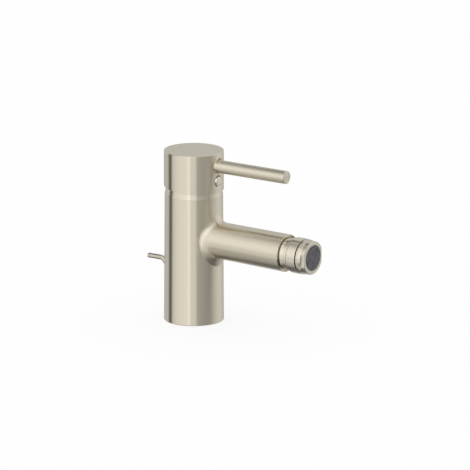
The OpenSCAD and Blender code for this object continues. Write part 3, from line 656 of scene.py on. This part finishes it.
# The hollow behind it, round the ball, keeps it off the nut as it tilts
DISH_R = 16.45
DISH_FROM_R = 11.75
DISH_STEPS = 5
REAR_R = 14.15
WAIST_FROM = 10.2
WAIST_LENGTH = 2.8
WAIST_STEPS = 5
HEAD_R = 13.55
HEAD_TO = 16.4
HEAD_EDGE = 0.75
FLAT_FROM = 12.9
FLAT_SLOPE = 0.5
HALF_FLATS = 12.25
# Radius inside which the flats leave the head's front as it is
FRONT_R = 11.2
POCKET = 14.1
POCKET_R = 10.5
POCKET_EDGE = 0.04

# Aerator: a tube, a plate in the pocket and a wall round the face
TUBE_FROM = 10.5
TUBE_BORE_R = 4.6
TUBE_R = 5.4
PLATE_FROM = 14.5
PLATE_TO = 14.9
WALL_TO = 16
WALL_R = 10.4
WALL_BORE_R = 9.8

FACE_FROM = 15.25
FACE_TO = 15.95
FACE_R = 9.75
FACE_RINGS = 5
FACE_SEGMENTS = 128
# Width of a ring, as a share of the distance from ring to ring
RING_SHARE = 0.6
RING_EDGE = 0.15
SPOKES = 6
SPOKE_TO = 15.7
SPOKE_FOOT_HALF = 0.3
SPOKE_TOP_HALF = 0.22
SPOKE_STOP = 0.2
# Corners of the faces of a box whose ends are 0 to 3 and 4 to 7
BOX_FACES = ((0, 1, 2, 3), (4, 5, 6, 7), (0, 1, 5, 4), (1, 2, 6, 5), (2, 3, 7, 6), (3, 0, 4, 7))


def arc(radius, first, last):
    """Corners on a circle round the ball's centre, between two places along the spout."""
    places = [first + (last - first) * step / ARC_STEPS for step in range(ARC_STEPS + 1)]
    return [(math.sqrt(radius ** 2 - place ** 2), place, 0) for place in places]


def add_nipple():
    thread_from = NUT_FROM - NUT_GAP
    spigot = [
        (WATER_R, NIPPLE_FROM, EASED), (SPIGOT_R, NIPPLE_FROM, SOFT),
        (SPIGOT_R, SEAL_FROM, CRISP), (SEAL_R, SEAL_FROM, CRISP),
        (SEAL_R, SEAL_TO, CRISP), (SPIGOT_R, SEAL_TO, CRISP), (SPIGOT_R, NECK_FROM, CRISP),
    ]
    neck = [
        (NECK_FROM_R, NECK_FROM, EASED), (NECK_FROM_R, TAPER_FROM, ROUND),
        (NECK_R, TAPER_TO, ROUND), (NECK_R, BEAD_FROM, EASED),
    ]
    bead = [
        (BEAD_R, BEAD_FROM + BEAD_SLOPE, SOFT), (BEAD_R, GROOVE_FROM, EASED),
        (GROOVE_R, GROOVE_FROM, CRISP), (GROOVE_R, RIM_FROM, CRISP),
        (RIM_R, RIM_FROM, SOFT), (RIM_R, thread_from, CRISP),
    ]
    thread = [(THREAD_R, thread_from, CRISP), (THREAD_R, NIPPLE_TO, EASED)]
    seat = [(SEAT_R, SEAT_FROM, EASED), (WATER_R, SEAT_FROM, EASED)]
    turned("nipple_fine", spigot + neck + bead + thread + arc(CUP_R, NIPPLE_TO, CUP_FROM) + seat,
           NOZZLE, "root", "spout_nipple", "nozzle")


def add_nut():
    floor_r = NUT_R - NUT_LINE_DEPTH
    fine_lines = []
    for index in range(NUT_LINES):
        middle = NUT_FROM + (NUT_TO - NUT_FROM) * (index + 1) / (NUT_LINES + 1)
        fine_lines += [
            (NUT_R, middle - NUT_LINE_DEPTH, 0), (floor_r, middle - NUT_LINE_FLOOR, 0),
            (floor_r, middle + NUT_LINE_FLOOR, 0), (NUT_R, middle + NUT_LINE_DEPTH, 0),
        ]
    rear = [(NUT_THREAD_R, NUT_FROM, CRISP), (NUT_R, NUT_FROM, SMOOTH)]
    mouth = [(NUT_R, NUT_TO, SOFT), (MOUTH_R, NUT_TO + NUT_LIP, CRISP)] + arc(BAND_R, BAND_TO, BAND_FROM)
    turned("nut_fine", rear + fine_lines + mouth + [(NUT_THREAD_R, BAND_FROM, CRISP)],
           NOZZLE, "root", "socket_nut", "nozzle")


def cut_flats(radius, turn, along):
    """Two flats with a steep shoulder behind them; the front edge follows them inwards."""
    if radius <= FRONT_R:
        return radius
    depth = max(0, min(1, (along - FLAT_FROM) / FLAT_SLOPE))
    across = max(HALF_FLATS / HEAD_R, abs(math.cos(turn)))
    limit = HEAD_R + (HALF_FLATS / across - HEAD_R) * depth
    return FRONT_R + (radius - FRONT_R) * (limit - FRONT_R) / (HEAD_R - FRONT_R)


def add_housing():
    dish = []
    for step in range(DISH_STEPS + 1):
        radius = DISH_FROM_R + (REAR_R - DISH_FROM_R) * step / DISH_STEPS
        rounding = SMOOTH if step == DISH_STEPS else 0
        dish.append((radius, math.sqrt(DISH_R ** 2 - radius ** 2), rounding))
    # The waist ends 0.1 mm in front of the head's first corner, so the outline folds back that much
    waist = []
    for step in range(WAIST_STEPS + 1):
        part = step / WAIST_STEPS
        narrowing = (REAR_R - HEAD_R) * (3 - 2 * part) * part ** 2
        waist.append((REAR_R - narrowing, WAIST_FROM + WAIST_LENGTH * part, 0))
    rear = [(HOUSING_BORE_R, HOUSING_FROM, EASED), (HOUSING_NECK_R, HOUSING_FROM, EASED)]
    head = [
        (HEAD_R, FLAT_FROM, 0), (HEAD_R, FLAT_FROM + FLAT_SLOPE, 0), (HEAD_R, HEAD_TO, HEAD_EDGE),
        (POCKET_R, HEAD_TO, POCKET_EDGE), (POCKET_R, POCKET, EASED), (HOUSING_BORE_R, POCKET, EASED),
    ]
    turned("aerator_housing_fine", rear + dish + waist + head,
           NOZZLE, "nozzle", "aerator_housing", "head", carve=cut_flats)


def add_aerator_body():
    places = [
        (TUBE_BORE_R, TUBE_FROM), (TUBE_R, TUBE_FROM), (TUBE_R, PLATE_FROM), (WALL_R, PLATE_FROM),
        (WALL_R, WALL_TO), (WALL_BORE_R, WALL_TO), (WALL_BORE_R, PLATE_TO), (TUBE_BORE_R, PLATE_TO),
    ]
    turned("aerator_body_fine", [(radius, along, EASED) for radius, along in places],
           NOZZLE, "nozzle", "aerator_body", "dark_face")


def spoke_points(turn, start):
    """Corners of a tapered bar from start to a little inside the edge of the aerator's face."""
    centre, direction = NOZZLE
    outwards = round_axis(direction, turn)
    across = direction.cross(outwards)
    section = (
        (-SPOKE_FOOT_HALF, FACE_FROM), (SPOKE_FOOT_HALF, FACE_FROM),
        (SPOKE_TOP_HALF, SPOKE_TO), (-SPOKE_TOP_HALF, SPOKE_TO),
    )
    return [
        (centre + outwards * reach + across * side + direction * along) * MM
        for reach in (start, FACE_R - SPOKE_STOP)
        for side, along in section
    ]


def add_face():
    """Rings and a hub on spokes, with open gaps between them."""
    pitch = FACE_R / (FACE_RINGS + 1 - RING_SHARE)
    width = RING_SHARE * pitch
    rings = [(FACE_R - index * pitch - width, FACE_R - index * pitch) for index in range(FACE_RINGS)]
    hub = (0, width)
    points, faces = [], []
    for inner, outer in rings + [hub]:
        ring_points, ring_faces = lathe([
            (inner, FACE_FROM, CRISP), (outer, FACE_FROM, CRISP),
            (outer, FACE_TO, RING_EDGE), (inner, FACE_TO, RING_EDGE),
        ], NOZZLE, FACE_SEGMENTS)
        faces += [tuple(corner + len(points) for corner in face) for face in ring_faces]
        points += ring_points
    for spoke in range(SPOKES):
        faces += [tuple(corner + len(points) for corner in face) for face in BOX_FACES]
        points += spoke_points(math.tau * spoke / SPOKES, pitch - width)
    add_piece("aerator_face_fine", points, faces, "nozzle", "aerator_face", "dark_face")


# Handle: cap, lever and index plug

# The cap's slanted rim: its rise over the column's top, how far it's raised, and how near a point on it is
CAP_RIM_RISE = 4.9
CAP_RIM_SLOPE = math.tan(math.radians(4.1))
CAP_RIM_LIFT = 1.25
CAP_RIM_NEAR = 0.05

LEVER_R = 5.3
LEVER_EDGE = 0.55
# The lever's flared foot runs into its seat on the cap
FLARE = 1.2
FLARE_FROM = 23.3
FLARE_LENGTH = 1.3
FLARE_STEPS = 6
# How much wider and deeper than the stud its hole is
STUD_PLAY = 0.05
STUD_SPARE = 0.5

PLUG_R = 3.9
PLUG_RIM = 23.5
DOME_FROM = 24.1
# Turns from the rim to the middle, in radians, at which the dome has a ring
DOME_TURNS = (0.5, 0.8, 1.05, 1.3)


def add_cap():
    """The CAD's cap with its slanted rim a little higher, and more of the collar in sight."""
    mesh = frame["nodes"]["handle_cap"].data.copy()
    for vertex in mesh.vertices:
        rim = COLUMN_TOP + CAP_RIM_RISE + vertex.co.y / MM * CAP_RIM_SLOPE
        if abs(vertex.co.z / MM - rim) < CAP_RIM_NEAR:
            vertex.co.z += CAP_RIM_LIFT * MM
    piece = bpy.data.objects.new("handle_cap_fine", mesh)
    bpy.context.scene.collection.objects.link(piece)
    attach(piece, "handle")
    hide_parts("handle_cap")


def add_lever():
    start, end = -lever_high.y, -lever_low.y
    stud_r, stud_end = stud_high.x + STUD_PLAY, -stud_low.y + STUD_SPARE
    flare = []
    for step in range(FLARE_STEPS + 1):
        turn = math.pi / 2 * step / FLARE_STEPS
        flare.append((
            LEVER_R + FLARE * (1 - math.sin(turn)),
            FLARE_FROM + FLARE_LENGTH * (1 - math.cos(turn)), 0,
        ))
    foot = [(stud_r, start, CRISP), (LEVER_R + FLARE, start, EASED)]
    tip = [(LEVER_R, end, LEVER_EDGE), (0, end, 0)]
    stud_hole = [(0, stud_end, 0), (stud_r, stud_end, EASED)]
    turned("lever_fine", foot + flare + tip + stud_hole,
           LEVER, "handle", "lever_pin", "lever", segments=96)


def add_plug():
    back, front = -plug_high.y, -plug_low.y
    sides = [(0, back, 0), (PLUG_R, back, EASED), (PLUG_R, PLUG_RIM, SMOOTH)]
    dome = [
        (PLUG_R * math.cos(turn), DOME_FROM + (front - DOME_FROM) * math.sin(turn), 0)
        for turn in DOME_TURNS
    ]
    turned("plug_fine", sides + dome + [(0, front, 0)],
           PLUG, "handle", "index_plug", "plug", segments=96)


# The studio: a tent of pale cloth with a narrow and a broad dark panel.
# Each row is an azimuth in degrees (0 is the spout's side, 90 the right) and a brightness there.

TENT_MIDDLE = [
    (-180, 0.60), (-173, 0.56), (-165, 0.12), (-153, 0.10), (-148, 0.66), (-135, 0.80), (-108, 0.89),
    (-88, 0.97), (-80, 1.01), (-77, 1.22), (-72, 1.20), (-69, 0.92), (-60, 0.88), (-47, 0.86), (-44, 0.53),
    (-30, 0.45), (-8, 0.39), (12, 0.39), (22, 0.48), (36, 0.62), (60, 0.74), (90, 0.58), (110, 0.47),
    (140, 0.44), (150, 0.54), (180, 0.60),
]
TENT_HIGH = [
    (-180, 0.14), (-165, 0.20), (-148, 0.45), (-130, 0.73), (-76, 0.95), (-45, 0.70), (0, 0.50),
    (60, 0.65), (118, 0.56), (138, 0.50), (143, 0.04), (160, 0.03), (170, 0.10), (180, 0.14),
]
TENT_LOW = [
    (-180, 0.13), (-160, 0.14), (-148, 0.40), (-135, 0.70), (-120, 0.70), (-95, 0.45), (-76, 0.24),
    (-45, 0.14), (20, 0.12), (60, 0.35), (120, 0.62), (136, 0.58), (146, 0.22), (165, 0.17), (180, 0.13),
]
# Heights in the tent, from -1 below to 1 overhead, between which its middle gives way to the others
HIGH_CHANGE = (0.45, 0.75)
LOW_CHANGE = (-0.36, -0.62)
ROOF_CHANGE = (0.845, 0.875)
ROOF = (0.55, 0.55, 0.55, 1)
WHITE = (1, 1, 1, 1)
# The tent is brighter above the horizon
HORIZON_CHANGE = (-0.22, 0.10)
ABOVE_HORIZON = 1.28

FLOOR_COLOUR = (0.97, 0.97, 0.97, 1)
FLOOR_HALF = 6000
# Share of plain white in the floor that the camera sees, so that it's pale and keeps the shadow
FLOOR_GLOW = 0.82


def tent_ramp(tree, turn, rows):
    ramp = add_node(tree, "ShaderNodeValToRGB", {"Fac": turn})
    stops = ramp.color_ramp.elements
    while len(stops) > 1:
        stops.remove(stops[-1])
    for index, (azimuth, level) in enumerate(rows):
        place = (azimuth + 180) / 360
        stop = stops[0] if index == 0 else stops.new(place)
        stop.position = place
        stop.color = (level, level, level, 1)
    return ramp.outputs["Color"]


def change(tree, height, heights, curve="LINEAR"):
    """0 at the first of two heights and 1 at the second."""
    return spread(tree, height, start=heights[0], end=heights[1], curve=curve)


def add_world():
    """White for the camera and for soft light, and the tent's panels in what metal reflects."""
    world = bpy.data.worlds.new("studio")
    bpy.context.scene.world = world
    world.use_nodes = True
    tree = world.node_tree
    tree.nodes.clear()
    direction = add_node(tree, "ShaderNodeTexCoord").outputs["Generated"]
    parts = add_node(tree, "ShaderNodeSeparateXYZ", {"Vector": direction}).outputs
    height = parts["Z"]
    angle = maths(tree, "ARCTAN2", parts["X"], maths(tree, "MULTIPLY", parts["Y"], -1.0))
    turn = maths(tree, "ADD", maths(tree, "DIVIDE", angle, math.tau), 0.5)
    middle, high, low = (tent_ramp(tree, turn, rows) for rows in (TENT_MIDDLE, TENT_HIGH, TENT_LOW))
    colour = mix(tree, "RGBA", change(tree, height, HIGH_CHANGE, "SMOOTHSTEP"), middle, high)
    colour = mix(tree, "RGBA", change(tree, height, LOW_CHANGE, "SMOOTHSTEP"), colour, low)
    colour = mix(tree, "RGBA", change(tree, height, ROOF_CHANGE), colour, ROOF)
    strength = spread(tree, height, 1.0, ABOVE_HORIZON, *HORIZON_CHANGE)
    tent = add_node(tree, "ShaderNodeBackground", {"Color": colour, "Strength": strength})
    white = add_node(tree, "ShaderNodeBackground", {"Color": WHITE})
    glossy = add_node(tree, "ShaderNodeLightPath").outputs["Is Glossy Ray"]
    both = add_node(tree, "ShaderNodeMixShader", {0: glossy, 1: white.outputs[0], 2: tent.outputs[0]})
    add_node(tree, "ShaderNodeOutputWorld", {"Surface": both.outputs[0]})


def add_floor():
    half = FLOOR_HALF * MM
    mesh = bpy.data.meshes.new("floor")
    corners = [(-half, -half, 0), (half, -half, 0), (half, half, 0), (-half, half, 0)]
    mesh.from_pydata(corners, [], [(0, 1, 2, 3)])
    floor = bpy.data.objects.new("floor", mesh)
    bpy.context.scene.collection.objects.link(floor)
    material, tree, shader = new_material("floor")
    shader.inputs["Base Color"].default_value = FLOOR_COLOUR
    shader.inputs["Roughness"].default_value = 1.0
    shader.inputs["Specular IOR Level"].default_value = 0.0
    glow = add_node(tree, "ShaderNodeEmission", {"Color": WHITE, "Strength": 1.0})
    seen = add_node(tree, "ShaderNodeLightPath").outputs["Is Camera Ray"]
    share = maths(tree, "MULTIPLY", seen, FLOOR_GLOW)
    pale = add_node(tree, "ShaderNodeMixShader", {0: share, 1: shader.outputs[0], 2: glow.outputs[0]})
    feed(tree, tree.nodes["Material Output"].inputs["Surface"], pale.outputs[0])
    mesh.materials.append(material)
    floor.visible_glossy = False


add_camera()
add_world()
add_floor()
dress_nodes()
add_collar()
add_root()
add_nipple()
add_nut()
add_housing()
add_aerator_body()
add_face()
add_cap()
add_lever()
add_plug()

bpy.context.scene.view_settings.view_transform = "Standard"
